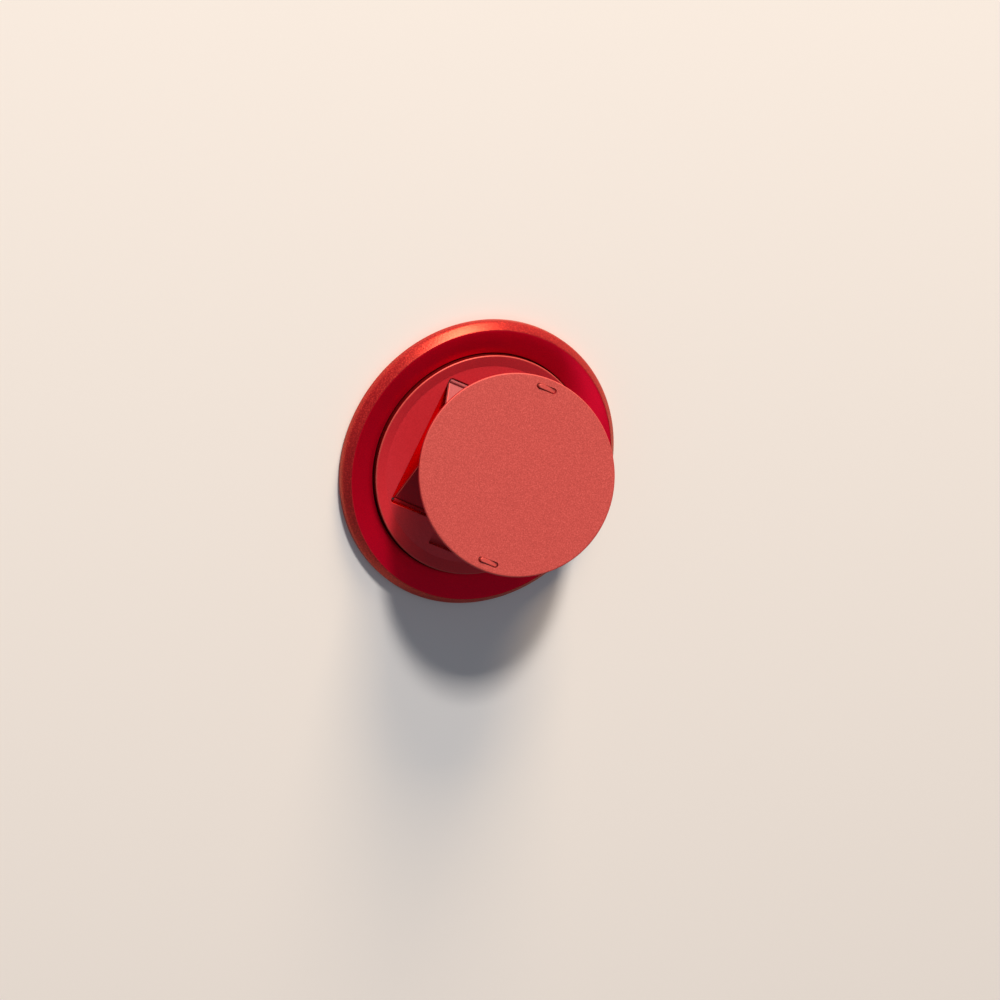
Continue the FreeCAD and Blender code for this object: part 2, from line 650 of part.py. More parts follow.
dress(carrier_rail, "Chamfer", "tab_tops", tab_top_edge, d.tab_bevel)
rock_seat = d.tab_half_width * 2 - d.rail_end_wall
for end, offset, reverse in (("upper", -rail_half_length, True), ("lower", rail_half_length, False)):
    rock_bore = new_sketch(carrier_rail, f"{end}_rock_bore", "XZ_Plane", offset)
    draw_circle(rock_bore, 0, 0, plate_bore)
    pocket(carrier_rail, f"{end}_rock_bore", rock_bore, rock_seat, reverse=reverse)

# Disc: turned, with a groove below for the rail, slots for its tabs and blind bores for the rock pins.
groove_half_width = rail_half_width + d.groove_clearance
groove_half_length = rail_half_length + d.slot_side_clearance
top_disc = new_body("top_disc")
disc_section = new_sketch(top_disc, "section", "XZ_Plane")
draw_outline(disc_section, [
    (0, disc_bottom),
    (d.disc_radius - d.disc_under_bevel, disc_bottom),
    (d.disc_radius, disc_bottom + d.disc_under_height),
    (d.disc_radius, disc_top - d.disc_edge_chamfer),
    (d.disc_radius - d.disc_edge_chamfer, disc_top),
    (0, disc_top),
])
turn(top_disc, disc_section)
groove = new_sketch(top_disc, "groove", "XY_Plane", disc_bottom)
draw_outline(groove, mirrored([
    (groove_half_width, -groove_half_length),
    (groove_half_width, groove_half_length),
]))
pocket(top_disc, "groove", groove, d.ridge_clearance - disc_bottom, reverse=True)
tab_slots = new_sketch(top_disc, "tab_slots", "XY_Plane", disc_top)
slot_half_length = d.tab_half_length + d.slot_end_clearance
slot_half_width = d.tab_half_width + d.slot_side_clearance
for end in (tab_distance, -tab_distance):
    draw_pill(tab_slots, 0, end, slot_half_length, slot_half_width)
pocket(top_disc, "tab_slots", tab_slots, d.disc_thickness)
rock_depth = d.slot_side_clearance + d.rock_pin_reach + d.seat_clearance
for end, offset, reverse in (("upper", -rail_half_length, False), ("lower", rail_half_length, True)):
    rock_bore = new_sketch(top_disc, f"{end}_rock_bore", "XZ_Plane", offset)
    draw_circle(rock_bore, 0, 0, plate_bore)
    pocket(top_disc, f"{end}_rock_bore", rock_bore, rock_depth, reverse=reverse)

# Slider pins at the legs' tips and rock pins in the rail's tabs.
slider_pin_length = (rail_half_width - d.seat_clearance) * 2
slider_pin_start = -slider_pin_length / 2
slider_pin_1 = pin_group("slider_pin_1", [((slider_pin_start, 0, 0), slider_pin_length, ALONG_X)])
slider_pin_2 = pin_group("slider_pin_2", [((slider_pin_start, 0, 0), slider_pin_length, ALONG_X)])
rock_start = rail_half_length - rock_seat + d.running_clearance
rock_length = rock_seat + d.slot_side_clearance + d.rock_pin_reach - d.running_clearance
rock_pins = pin_group("rock_pins", [
    ((0, rock_start, 0), rock_length, ALONG_Y),
    ((0, -rock_start, 0), rock_length, -ALONG_Y),
])

# Each piece in its place in the open grip.
AXIS_X = FreeCAD.Vector(1, 0, 0)
half_turn = FreeCAD.Rotation(FreeCAD.Vector(0, 0, 1), 180)
raised_1 = FreeCAD.Rotation(AXIS_X, d.leg_1_rise.value)
raised_2 = FreeCAD.Rotation(AXIS_X, math.degrees(rise_2))
tilted = FreeCAD.Rotation(AXIS_X, -d.rail_tilt.value)
rocked = FreeCAD.Rotation(FreeCAD.Vector(0, 1, 0), -d.disc_rock.value)
leg_1.Placement = FreeCAD.Placement(hinge_1, half_turn * raised_1)
leg_2.Placement = FreeCAD.Placement(hinge_2, raised_2)
slider_pin_1.Placement = FreeCAD.Placement(slider_1, tilted)
slider_pin_2.Placement = FreeCAD.Placement(slider_2, raised_2)
carrier_rail.Placement = FreeCAD.Placement(rail_origin, tilted)
rock_pins.Placement = FreeCAD.Placement(rail_origin, tilted)
top_disc.Placement = FreeCAD.Placement(rail_origin, tilted * rocked)
document.recompute()

# Every piece is checked before it is written.
nodes = [
    back_pad, back_plate, base_ring, ring_magnets, shunt_ring, lower_slip_ring, upper_slip_ring,
    swivel_plate, leg_1_hinge_pins, leg_2_hinge_pins, leg_1, leg_2, slider_pin_1, slider_pin_2,
    carrier_rail, rock_pins, top_disc,
]
for thing in document.Objects:
    if "Invalid" in thing.State or "Error" in thing.State:
        raise RuntimeError(f"{thing.Name} has the state {thing.State}")
os.makedirs("parts", exist_ok=True)
for node in nodes:
    shape = node.Shape
    if shape.isNull() or not shape.isValid():
        raise RuntimeError(f"{node.Label} has no valid shape")
    shape.exportStep(f"parts/{node.Label}.step")
    print(f"{node.Label}: {len(shape.Solids)} solids, {shape.Volume:.2f} cubic mm")
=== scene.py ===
# %% [markdown]
# A folding magnetic grip, dressed for its picture.
# The solids come from the part's own frame and keep their places. This lesson adds what the eye
# needs on top of them: smooth turned forms, fine edges, anodised finishes, a camera and soft light.
# Sizes are in millimetres, and MM turns them to Blender's metres. A value whose name ends in _M and
# the places and sizes of the lights are in metres already.

# %% Load the frame
import math

import bmesh
import bpy
from mathutils import Matrix, Vector


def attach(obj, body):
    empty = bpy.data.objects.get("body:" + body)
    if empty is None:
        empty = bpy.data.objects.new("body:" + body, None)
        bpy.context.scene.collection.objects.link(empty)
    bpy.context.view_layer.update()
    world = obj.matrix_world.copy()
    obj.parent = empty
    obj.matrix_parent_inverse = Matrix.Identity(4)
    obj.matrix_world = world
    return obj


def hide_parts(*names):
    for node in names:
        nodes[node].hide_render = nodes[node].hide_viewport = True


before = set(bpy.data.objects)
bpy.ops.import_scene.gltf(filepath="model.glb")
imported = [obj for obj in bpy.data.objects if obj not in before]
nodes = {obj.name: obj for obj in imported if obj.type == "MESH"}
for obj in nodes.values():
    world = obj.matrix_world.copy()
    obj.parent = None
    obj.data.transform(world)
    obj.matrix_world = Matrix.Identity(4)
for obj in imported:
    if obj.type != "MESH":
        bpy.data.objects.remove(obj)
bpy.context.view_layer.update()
scene = bpy.context.scene
MM = 0.001
print("nodes:", ", ".join(sorted(nodes)))

# %% [markdown]
# The camera looks down on the grip from the side of the plate, turned so that the grip's length
# runs up and to the right. A camera could be turned bit by bit until the view looks right. Here the
# three directions of the picture are written down instead, its right, its up and the way back to
# the camera, because together they are the camera's rotation. A small turn about the upright axis
# brings the disc's slots nearer to their line. A long lens from about a metre away keeps the rings
# nearly true ellipses.

# %% Camera
VIEW_TURN = Matrix.Rotation(math.radians(0.7), 3, "Z")
IMAGE_RIGHT = VIEW_TURN @ Vector((0.8106, 0.4286, 0.3980))
IMAGE_UP = VIEW_TURN @ Vector((-0.3194, 0.8948, -0.3120))
TOWARDS_CAMERA = VIEW_TURN @ Vector((-0.4898, 0.1258, 0.8622))
RING_MIDDLE = Vector((0, 0, 3.17))
AIM_RIGHT, AIM_DOWN = 3.39, 6.63
CAMERA_DISTANCE = 940
LENS, SENSOR = 176, 36
NEAREST_M, FARTHEST_M = 0.01, 20

camera_data = bpy.data.cameras.new("camera")
camera_data.lens = LENS
camera_data.sensor_width = SENSOR
camera_data.clip_start = NEAREST_M
camera_data.clip_end = FARTHEST_M
camera = bpy.data.objects.new("camera", camera_data)
scene.collection.objects.link(camera)
aim = RING_MIDDLE + IMAGE_RIGHT * AIM_RIGHT - IMAGE_UP * AIM_DOWN
stand = (aim + TOWARDS_CAMERA * CAMERA_DISTANCE) * MM
axes = Matrix((IMAGE_RIGHT, IMAGE_UP, TOWARDS_CAMERA)).transposed()
camera.matrix_world = Matrix.Translation(stand) @ axes.to_4x4()
scene.camera = camera
print("camera at", [round(c, 3) for c in camera.location])

# %% [markdown]
# Every finish below is a small tree of shader nodes. Colours are written as they look on a screen
# and turned to linear light by one function, and one more function adds a node with its settings.
# The Standard view keeps the reds as strong as they are written. Blender's usual view would soften
# the brightest of them.

# %% Helpers for finishes
scene.view_settings.view_transform = "Standard"


def linear(hex_colour):
    """An sRGB colour such as #C03020 as linear red, green, blue and alpha."""
    values = [int(hex_colour[i:i + 2], 16) / 255 for i in (1, 3, 5)]
    return [v / 12.92 if v <= 0.04045 else ((v + 0.055) / 1.055) ** 2.4 for v in values] + [1.0]


def add_node(tree, kind, settings=None, inputs=None, links=None):
    """One shader node with its settings, its fixed inputs and its links from other outputs."""
    made = tree.nodes.new(kind)
    for name, value in (settings or {}).items():
        setattr(made, name, value)
    for name, value in (inputs or {}).items():
        made.inputs[name].default_value = value
    for name, output in (links or {}).items():
        tree.links.new(output, made.inputs[name])
    return made


def new_material(name):
    """A material and its Principled shader."""
    material = bpy.data.materials.new(name)
    material.use_nodes = True
    return material, material.node_tree.nodes["Principled BSDF"]


def finish_with(obj, material):
    """Gives a node or a piece one material in place of any it had."""
    obj.data.materials.clear()
    obj.data.materials.append(material)


print("a mid red in linear light:", [round(v, 3) for v in linear("#C03020")])

# %% [markdown]
# The grip stands on a pale sheet that runs out of sight. A plane with four corners would do as well,
# but a wide round one shows no corner in any view. It lies a hair below the pad, because two faces
# in one plane would flicker.

# %% Floor
FLOOR_RADIUS_M, FLOOR_SIDES = 3.0, 64
FLOOR_DROP = 0.02


def piece_from(bm, name):
    """A new object at the origin from a bmesh, which is used up."""
    mesh = bpy.data.meshes.new(name)
    bm.to_mesh(mesh)
    bm.free()
    piece = bpy.data.objects.new(name, mesh)
    scene.collection.objects.link(piece)
    return piece


# Matt paper: an even pale grey with no glint, against which the reds stand out.
paper, paper_shader = new_material("matt_paper_backdrop")
paper_shader.inputs["Base Color"].default_value = linear("#E9E8E6")
paper_shader.inputs["Roughness"].default_value = 0.9
floor_disc = bmesh.new()
bmesh.ops.create_circle(floor_disc, cap_ends=True, segments=FLOOR_SIDES, radius=FLOOR_RADIUS_M)
floor = piece_from(floor_disc, "floor")
floor.location.z = -FLOOR_DROP * MM
finish_with(floor, paper)
print("floor:", FLOOR_RADIUS_M, "m in radius")

# %% [markdown]
# A small object needs few lights: a key light high on the far side, a low warm edge light beside it,
# a weak fill from the near side and an even pale sky. A sun lamp would be simpler, but a square light
# has a size, which sets how soft its shadow and how wide its glint is. The edge light stands where its
# mirror image falls on the ring's shoulder, because that is where the ring glints.

# %% Light
# Each row has a name, a direction, a distance and a size in metres, a power in watts and a tint.
LIGHTS = (
    ("key_light", (-0.33, 0.72, 0.61), 2.0, 0.22, 33, "#FFF8F2"),
    ("edge_light", (-0.30, 0.90, 0.31), 1.8, 0.60, 40, "#FFE0BC"),
    ("fill_light", (0.25, -0.49, 0.83), 2.0, 0.80, 1.7, "#F4F4FF"),
)
SKY_TINT, SKY_STRENGTH = "#DDE4F2", 0.20


def aim_light(name, direction, distance, size, power, tint):
    """A square soft light that looks at the grip from a direction."""
    data = bpy.data.lights.new(name, "AREA")
    data.size = size
    data.energy = power
    data.color = linear(tint)[:3]
    light = bpy.data.objects.new(name, data)
    scene.collection.objects.link(light)
    away = Vector(direction).normalized()
    light.location = away * distance
    light.rotation_mode = "QUATERNION"
    light.rotation_quaternion = (-away).to_track_quat("-Z", "Y")


for row in LIGHTS:
    aim_light(*row)
sky = bpy.data.worlds.new("pale_sky")
sky.use_nodes = True
background = sky.node_tree.nodes["Background"]
background.inputs["Color"].default_value = linear(SKY_TINT)
background.inputs["Strength"].default_value = SKY_STRENGTH
scene.world = sky
print("lights:", ", ".join(row[0] for row in LIGHTS))

# %% [markdown]
# The grip is aluminium, turned, blasted or stamped, and then anodised and dyed red. One red for all
# would look like plastic, because each piece has its own surface. So the finishes share one recipe
# and differ in its values: a red layer over metal, with a grain of specks that shifts the colour a
# little, roughens the surface and raises it. The real blasting grit is about 0.1 mm, too fine to
# show in the picture, so the grain is drawn at about two to three times that. The dye warms the
# mirrored light, which the specular tint stands for. The ring's finish comes first.

# %% Anodised recipe
DARK_SPECKS, LIGHT_SPECKS = 0.28, 0.72
SMOOTHER, ROUGHER = 0.05, 0.06
GRAIN_STRENGTH = 0.5


def anodised(name, base, dark, light, metallic, roughness, grain, depth, glint="#FFFFFF", shine=0.5):
    """Anodised aluminium: a base red with darker and lighter specks, and a grain of that size and depth."""
    material, shader = new_material(name)
    tree = material.node_tree
    place = add_node(tree, "ShaderNodeTexCoord")
    noise = add_node(
        tree, "ShaderNodeTexNoise", inputs={"Scale": 1 / (grain * MM), "Detail": 2.0, "Roughness": 0.6},
        links={"Vector": place.outputs["Object"]})
    specks = add_node(tree, "ShaderNodeValToRGB", links={"Fac": noise.outputs["Fac"]})
    darkest, lightest = specks.color_ramp.elements
    darkest.position = DARK_SPECKS
    darkest.color = linear(dark)
    lightest.position = LIGHT_SPECKS
    lightest.color = linear(light)
    specks.color_ramp.elements.new(0.5).color = linear(base)
    tree.links.new(specks.outputs["Color"], shader.inputs["Base Color"])
    rough = add_node(
        tree, "ShaderNodeMapRange", inputs={"To Min": roughness - SMOOTHER, "To Max": roughness + ROUGHER},
        links={"Value": noise.outputs["Fac"]})
    tree.links.new(rough.outputs["Result"], shader.inputs["Roughness"])
    bump = add_node(
        tree, "ShaderNodeBump", inputs={"Strength": GRAIN_STRENGTH, "Distance": depth * MM},
        links={"Height": noise.outputs["Fac"]})
    tree.links.new(bump.outputs["Normal"], shader.inputs["Normal"])
    shader.inputs["Metallic"].default_value = metallic
    shader.inputs["Specular Tint"].default_value = linear(glint)
    shader.inputs["Specular IOR Level"].default_value = shine
    return material


# Satin aluminium, fine turned: a clean, deep red that mirrors the sky softly.
ring_red = anodised(
    "satin_anodised_aluminium", base="#F20834", dark="#E60630", light="#FE0C3A",
    metallic=0.78, roughness=0.30, grain=0.20, depth=0.004, glint="#FFAA70")
print("first finish:", ring_red.name)

# %% [markdown]
# A lathe leaves rings too fine to count. They could be cut into the mesh, but thousands of faces would
# show no more than a bump does, so they are bump alone. They follow the distance from the middle, and
# a one-dimensional noise reads that distance. Real marks lie closer, and these are about 0.15 mm apart
# so that they still show.

# %% Turning marks on the ring
MARK_SPACING, MARK_DEPTH, MARK_STRENGTH = 0.15, 0.002, 0.25

ring_tree = ring_red.node_tree
ring_place = add_node(ring_tree, "ShaderNodeTexCoord")
flat = add_node(
    ring_tree, "ShaderNodeVectorMath", settings={"operation": "MULTIPLY"}, inputs={1: (1, 1, 0)},
    links={0: ring_place.outputs["Object"]})
reach = add_node(
    ring_tree, "ShaderNodeVectorMath", settings={"operation": "LENGTH"}, links={0: flat.outputs["Vector"]})
marks = add_node(
    ring_tree, "ShaderNodeTexNoise", settings={"noise_dimensions": "1D"},
    inputs={"Scale": 1 / (MARK_SPACING * MM), "Detail": 1.0}, links={"W": reach.outputs["Value"]})
grain_bump = ring_tree.nodes["Bump"]
turned_bump = add_node(
    ring_tree, "ShaderNodeBump", inputs={"Strength": MARK_STRENGTH, "Distance": MARK_DEPTH * MM},
    links={"Height": marks.outputs["Fac"], "Normal": grain_bump.outputs["Normal"]})
ring_shader = ring_tree.nodes["Principled BSDF"]
ring_tree.links.new(turned_bump.outputs["Normal"], ring_shader.inputs["Normal"])
print("turning marks every", MARK_SPACING, "mm")

# %% [markdown]
# The ring's sloping shoulder is blasted, so it sparkles in the low light, while the dish inside it
# keeps the satin of the lathe. The plate is smooth and duller than both. Its pocket is a well of red
# walls that light each other, so it glows a purer red. Its outer wall stands in a narrow gap and
# reads as a dark line. The last two could be left to the light alone, but under a pale sky they come
# out too grey, so the pocket's glow is painted as a bright pure red and the gap's shade as a dark red.

# %% Finishes of the ring's shoulder and the plate
# Blasted aluminium with coarse specks: they break the low light into a sparkling warm streak.
shoulder_red = anodised(
    "sparkling_blasted_aluminium", base="#A81626", dark="#8C101E", light="#D03434",
    metallic=0.48, roughness=0.33, grain=0.28, depth=0.050, glint="#FFC47C", shine=1.0)
# Matt aluminium: a quiet, even red that hardly changes as it turns.
plate_red = anodised(
    "matt_anodised_aluminium", base="#CA2834", dark="#C2222E", light="#D22E3A",
    metallic=0.20, roughness=0.48, grain=0.25, depth=0.003)
# Painted glow: a pure, bright red on the pocket's walls and bottom for the light they bounce to each other,
# with little shine.
painted_glow_red = anodised(
    "painted_glow_red_aluminium", base="#F00008", dark="#E40006", light="#FA000A",
    metallic=0.30, roughness=0.45, grain=0.25, depth=0.002, glint="#FF4030", shine=0.2)
# Painted shade: a dark red on the plate's outer wall for the shade of the narrow gap, which draws a thin
# dark line round the plate.
painted_shade_wall_red = anodised(
    "painted_shade_wall_red_aluminium", base="#54060C", dark="#4C040A", light="#5C080E",
    metallic=0.30, roughness=0.50, grain=0.25, depth=0.002, glint="#FF8070", shine=0.3)
print("finishes:", ", ".join(m.name for m in (shoulder_red, plate_red, painted_glow_red, painted_shade_wall_red)))

# %% [markdown]
# The disc, the first leg and the rail are blasted, which leaves a pale, even grain that hides small
# marks. The rail is a little paler, as painted light on its tabs' tops. The second leg gets a darker
# copy of the leg's red as painted shade, and the disc's side wall shares it. Edges cut after the
# blasting are brighter than what they border, and their lighter red also paints the highlight they
# catch. One of these reds could do for all of them, but side by side they read as separate pieces, so
# each has its own.

# %% Finishes of the disc, the legs and the rail
# Bead-blasted aluminium: a soft, slightly mottled red without a glint.
disc_red = anodised(
    "bead_blasted_aluminium", base="#A63834", dark="#922D29", light="#BA4D48",
    metallic=0.20, roughness=0.60, grain=0.24, depth=0.012)
# Fine-blasted aluminium: smoother than the disc, and pinker in the light.
leg_red = anodised(
    "fine_blasted_aluminium", base="#AE565A", dark="#A65054", light="#B65E62",
    metallic=0.20, roughness=0.55, grain=0.22, depth=0.005)
# Painted shade: plain anodised aluminium in a deeper, darker red than the first leg's, with little shine,
# for the second leg and the disc's side wall, which stand in shade.
painted_shade_leg_red = anodised(
    "painted_shade_anodised_aluminium", base="#A01A26", dark="#981622", light="#A81E2A",
    metallic=0.20, roughness=0.50, grain=0.22, depth=0.004, glint="#FFA0A0", shine=0.3)
# Bright-cut edge: fresh metal under thin dye, a thin light line along an edge; its lighter red also paints
# the highlight the edge catches.
cut_edge_and_highlight = anodised(
    "bright_cut_edge_and_painted_highlight", base="#C24E4A", dark="#BC4844", light="#C85450",
    metallic=0.25, roughness=0.48, grain=0.30, depth=0.001, glint="#FFC0B0", shine=0.3)
# Soft-blasted aluminium, a little paler than the disc as painted light on the tabs' tops, so that the
# rail's tabs show in their slots.
rail_red_with_painted_light = anodised(
    "soft_blasted_aluminium_with_painted_light", base="#BC4844", dark="#B0403C", light="#C8544E",
    metallic=0.20, roughness=0.55, grain=0.24, depth=0.008)
print("finishes:", ", ".join(m.name for m in (disc_red, leg_red, painted_shade_leg_red, cut_edge_and_highlight, rail_red_with_painted_light)))

# %% [markdown]
# Ring, plate, disc and pad are turned parts. A cylinder with many cuts could give the same form, but
# a lathe works from a section, and so does this: the section is drawn as a face, its corners are
# rounded by a vertex bevel as a tool's nose would leave them, and it is spun once about the axis.
# Extra points close to a corner keep the flat faces flat in smooth shading. Where one piece has
# several finishes, its faces are told apart by where they lie.

# %% Turned pieces
SPIN_STEPS = 192
SHARP_DEGREES = 13
ON_AXIS_M, MERGE_M = 1e-9, 1e-7


def turned(name, section, rounded, segments=6):
    """A turned piece from (radius, height) points; rounded gives some points' numbers a bevel size."""
    bm = bmesh.new()
    points = [bm.verts.new((r * MM, 0, z * MM)) for r, z in section]
    bm.faces.new(points)
    for number, size in rounded.items():
        bmesh.ops.bevel(
            bm, geom=[points[number]], offset=size * MM, offset_type="OFFSET", affect="VERTICES",
            segments=segments, profile=0.5, material=-1)
    bmesh.ops.delete(bm, geom=bm.faces[:], context="FACES_ONLY")
    on_axis = [e for e in bm.edges if all(abs(v.co.x) < ON_AXIS_M for v in e.verts)]
    bmesh.ops.delete(bm, geom=on_axis, context="EDGES")
    bmesh.ops.spin(
        bm, geom=bm.verts[:] + bm.edges[:], cent=(0, 0, 0), axis=(0, 0, 1), dvec=(0, 0, 0),
        angle=2 * math.pi, steps=SPIN_STEPS, use_merge=True, use_normal_flip=False, use_duplicate=False)
    bmesh.ops.remove_doubles(bm, verts=bm.verts[:], dist=MERGE_M)
    bmesh.ops.recalc_face_normals(bm, faces=bm.faces[:])
    return piece_from(bm, name)


def smooth_shading(piece):
    """Smooth shading that keeps the sharper edges."""
    piece.data.shade_smooth()
    piece.data.set_sharp_from_angle(angle=math.radians(SHARP_DEGREES))


def finish_part(piece, material, **ranges):
    """Gives one more material to the faces whose middles lie in all the ranges.

    A range is the lowest and highest radius, place along Y or height, or the normal's upward share as tilt.
    """
    piece.data.materials.append(material)
    index = len(piece.data.materials) - 1
    for face in piece.data.polygons:
        middle = face.center / MM
        measured = {
            "radius": middle.xy.length, "along": middle.y, "height": middle.z, "tilt": face.normal.z}
        if all(lowest <= measured[name] <= highest for name, (lowest, highest) in ranges.items()):
            face.material_index = index


print("turned pieces have", SPIN_STEPS, "steps")

# %% [markdown]
# The ring is the base that holds everything: a sloping shoulder outside, a shallow dish inside, a lip
# over the plate's flange, and below it a channel for the magnets and a rebate for the back plate.
# It could be stacked from several rings, but one section, spun once, leaves no seams between them.
# The tool's nose rounds the shoulder's foot, the crest and the dish's inner edge.

# %% Ring
RING_RADIUS, RING_FOOT, FOOT_CHAMFER = 28.55, 0.15, 0.30
SHOULDER_FOOT, SHOULDER_START = 1.70, 27.05
CREST_RADIUS, CREST_HEIGHT = 27.15, 3.30
NEAR_CREST = (26.60, 3.157)
DISH_RADIUS, DISH_HEIGHT, LIP_BOTTOM = 22.35, 2.05, 1.42
CAVITY_RADIUS = 23.20
CHANNEL_INNER, CHANNEL_OUTER, CHANNEL_TOP = 23.60, 26.95, 1.85
REBATE_RADIUS, REBATE_TOP = 27.45, 0.60

ring = turned("turned_ring", [
    (REBATE_RADIUS, RING_FOOT),
    (RING_RADIUS - FOOT_CHAMFER, RING_FOOT),
    (RING_RADIUS, RING_FOOT + FOOT_CHAMFER),
    (RING_RADIUS, SHOULDER_FOOT),
    (CREST_RADIUS, CREST_HEIGHT),
    NEAR_CREST,
    (DISH_RADIUS, DISH_HEIGHT),
    (DISH_RADIUS, LIP_BOTTOM),
    (CAVITY_RADIUS, LIP_BOTTOM),
    (CAVITY_RADIUS, REBATE_TOP),
    (CHANNEL_INNER, REBATE_TOP),
    (CHANNEL_INNER, CHANNEL_TOP),
    (CHANNEL_OUTER, CHANNEL_TOP),
    (CHANNEL_OUTER, REBATE_TOP),
    (REBATE_RADIUS, REBATE_TOP),
], rounded={3: 0.42, 4: 0.18, 6: 0.07})
smooth_shading(ring)
finish_with(ring, ring_red)
finish_part(ring, shoulder_red, radius=(SHOULDER_START, math.inf))
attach(ring, "base")
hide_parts("base_ring")
print("ring:", len(ring.data.polygons), "faces")

# %% [markdown]
# The plate's pocket and the disc's slots are milled into the turned blanks. They could be inset and
# pushed down face by face, but a mill takes a shape away, and so does a boolean. A cutter is drawn as
# an outline with rounded corners and extruded. One that widens at its mouth leaves the small broken
# edge that a real milled edge has.

# %% Milling
CORNER_STEPS = 8


def box_outline(half_x, half_y, middle_y=0.0):
    """A rectangle's corners, anticlockwise."""
    low_y = middle_y - half_y
    high_y = middle_y + half_y
    return [(-half_x, low_y), (half_x, low_y), (half_x, high_y), (-half_x, high_y)]


def cutter(outline, bottom, top, corner=0.0, mouth=None, flare=0.0):
    """A milling cutter from an outline; above the mouth's height it widens by the flare."""
    bm = bmesh.new()
    face = bm.faces.new([bm.verts.new((x * MM, y * MM, bottom * MM)) for x, y in outline])
    if corner:
        bmesh.ops.bevel(
            bm, geom=bm.verts[:], offset=corner * MM, offset_type="OFFSET", affect="VERTICES",
            segments=CORNER_STEPS, profile=0.5, material=-1)
        face = bm.faces[:][0]
    levels = [(top, 0.0)] if mouth is None else [(mouth, 0.0), (mouth + flare, flare), (top, 0.0)]
    for level, widen in levels:
        grown = bmesh.ops.extrude_discrete_faces(bm, faces=[face])
        face = grown["faces"][0]
        middle = face.calc_center_median()
        for vert in face.verts:
            outward = Vector((vert.co.x - middle.x, vert.co.y - middle.y, 0)).normalized()
            vert.co += outward * widen * MM
            vert.co.z = level * MM
    bmesh.ops.holes_fill(bm, edges=bm.edges[:])
    bmesh.ops.recalc_face_normals(bm, faces=bm.faces[:])
    return piece_from(bm, "cutter")


def combine(piece, tool, operation):
    """Joins a tool to a piece or cuts it away, and removes the tool."""
    change = piece.modifiers.new("change", "BOOLEAN")
    change.operation = operation
    change.solver = "EXACT"
    change.object = tool
    depsgraph = bpy.context.evaluated_depsgraph_get()
    changed = bpy.data.meshes.new_from_object(piece.evaluated_get(depsgraph))
    piece.modifiers.clear()
    piece.data = changed
    bpy.data.objects.remove(tool)


print("cutters have", CORNER_STEPS, "steps in a corner")

# %% [markdown]
# The plate turns in the ring. It has a flange under the ring's lip, a raised rim with a fine chamfer,
# a band that slopes down to a flat floor, a pocket in which the folded legs lie, and a channel
# across it for the rail. It could be cast in one go, but crisp edges like these come from a lathe
# and a mill, so it is turned first and milled after. The channel's ends beyond the pocket keep the
# floor's finish.

# %% Plate
PLATE_BOTTOM, PLATE_FLOOR, RIM_TOP = 0.72, 2.66, 3.16
FLANGE_RADIUS, FLANGE_TOP = 23.00, 1.28
PLATE_RADIUS, RIM_CHAMFER, RIM_INNER, BAND_INNER = 22.10, 0.13, 21.85, 19.80
POCKET_HALF_WIDTH, POCKET_HALF_LENGTH, POCKET_CORNER = 14.4, 13.32, 0.7
RAIL_CHANNEL_HALF_WIDTH, RAIL_CHANNEL_HALF_LENGTH = 2.9, 17.93
POCKET_FLOOR, POCKET_MOUTH, POCKET_FLARE = 0.97, 2.60, 0.06
CUTTER_TOP = 4.0
# Where one finish ends and the next begins: at the outer wall with its painted shade, in the pocket with
# its painted glow, and at its mouth.
WALL_START, WALL_TOP = 21.86, 3.02
POCKET_END, POCKET_REACH = 13.45, 20.5
MOUTH_LOW, MOUTH_HIGH, MOUTH_REACH = 2.61, 2.655, 19.9

plate = turned("swivel_plate_milled", [
    (0, PLATE_BOTTOM),
    (FLANGE_RADIUS, PLATE_BOTTOM),
    (FLANGE_RADIUS, FLANGE_TOP),
    (PLATE_RADIUS, FLANGE_TOP),
    (PLATE_RADIUS, RIM_TOP - RIM_CHAMFER),
    (PLATE_RADIUS - RIM_CHAMFER, RIM_TOP),
    (RIM_INNER, RIM_TOP),
    (BAND_INNER, PLATE_FLOOR),
    (0, PLATE_FLOOR),
], rounded={4: 0.06, 5: 0.05, 6: 0.05}, segments=3)
pocket = cutter(
    box_outline(POCKET_HALF_WIDTH, POCKET_HALF_LENGTH), POCKET_FLOOR, CUTTER_TOP,
    corner=POCKET_CORNER, mouth=POCKET_MOUTH, flare=POCKET_FLARE)
combine(plate, pocket, "DIFFERENCE")
rail_channel = cutter(
    box_outline(RAIL_CHANNEL_HALF_WIDTH, RAIL_CHANNEL_HALF_LENGTH), POCKET_FLOOR, CUTTER_TOP)
combine(plate, rail_channel, "DIFFERENCE")
smooth_shading(plate)
finish_with(plate, plate_red)
# Painted glow: the pocket's walls and bottom get the bright pure red.
finish_part(
    plate, painted_glow_red, radius=(0, POCKET_REACH), along=(-POCKET_END, POCKET_END), height=(0, MOUTH_LOW))
# Painted shade: the outer wall in the gap gets the dark red.
finish_part(plate, painted_shade_wall_red, radius=(WALL_START, math.inf), height=(0, WALL_TOP))
# The rim's chamfer and the pocket's mouth get the lighter cut-edge red, which also paints their highlight.
finish_part(plate, cut_edge_and_highlight, radius=(WALL_START, math.inf), height=(WALL_TOP, math.inf))
finish_part(plate, cut_edge_and_highlight, radius=(0, MOUTH_REACH), height=(MOUTH_LOW, MOUTH_HIGH))
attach(plate, "swivel")
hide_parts("swivel_plate")
print("plate:", len(plate.data.polygons), "faces")

# %% [markdown]
# The disc is the part to hold on to. It could be modelled where it stands, but it is turned and milled
# lying flat, because a section and a cutter are simplest there, and is then carried to its place:
# tilted with the rail about X and rocked about the rail's own length. A groove below takes the rail,
# and two slots take the rail's tabs. The slots lie a hair off the tabs' middles, so that a dark line
# shows along one side of each tab. The narrow chamfer round the face is cut bright after the
# blasting, which draws a thin light line, and its lighter red also paints the highlight it catches.

